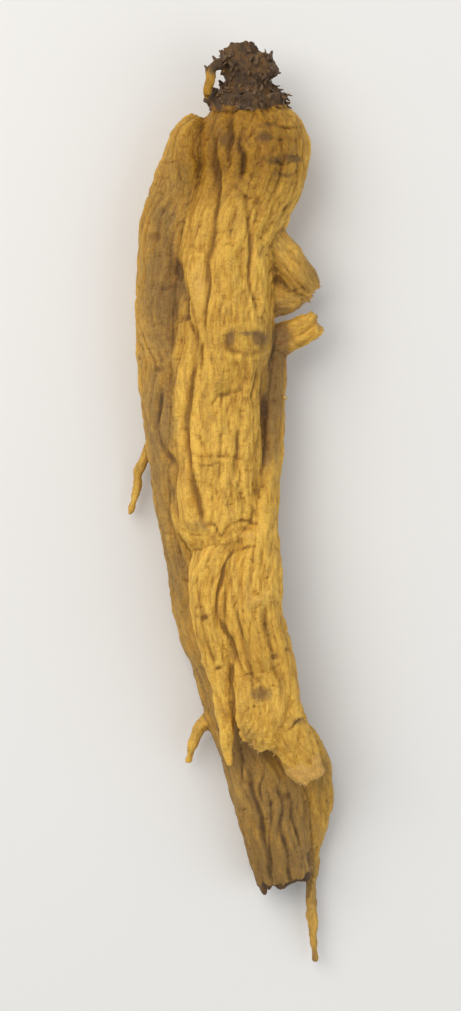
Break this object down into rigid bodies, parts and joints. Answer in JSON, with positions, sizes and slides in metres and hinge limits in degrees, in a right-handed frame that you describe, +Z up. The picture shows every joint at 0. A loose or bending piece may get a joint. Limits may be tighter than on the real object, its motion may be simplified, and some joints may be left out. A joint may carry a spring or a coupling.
{
  "type": "ginseng root",
  "caption": "Dried wrinkled root with a short ragged crown, forked legs, snapped side roots and a thin tail, lying on its back.",
  "frame": {"origin": "on the resting plane, under the middle of the root's bounding box", "axes": "+Y along the root towards the crown, +Z up from the surface it lies on, with the side that shows facing +Z"},
  "size_m": [0.026, 0.1154, 0.0137],
  "materials": {
    "root_skin": "matt, dry and wrinkled, ochre with brown furrows"
  },
  "bodies": {
    "root": {"ginseng_root": "root_skin"}
  },
  "joints": []
}
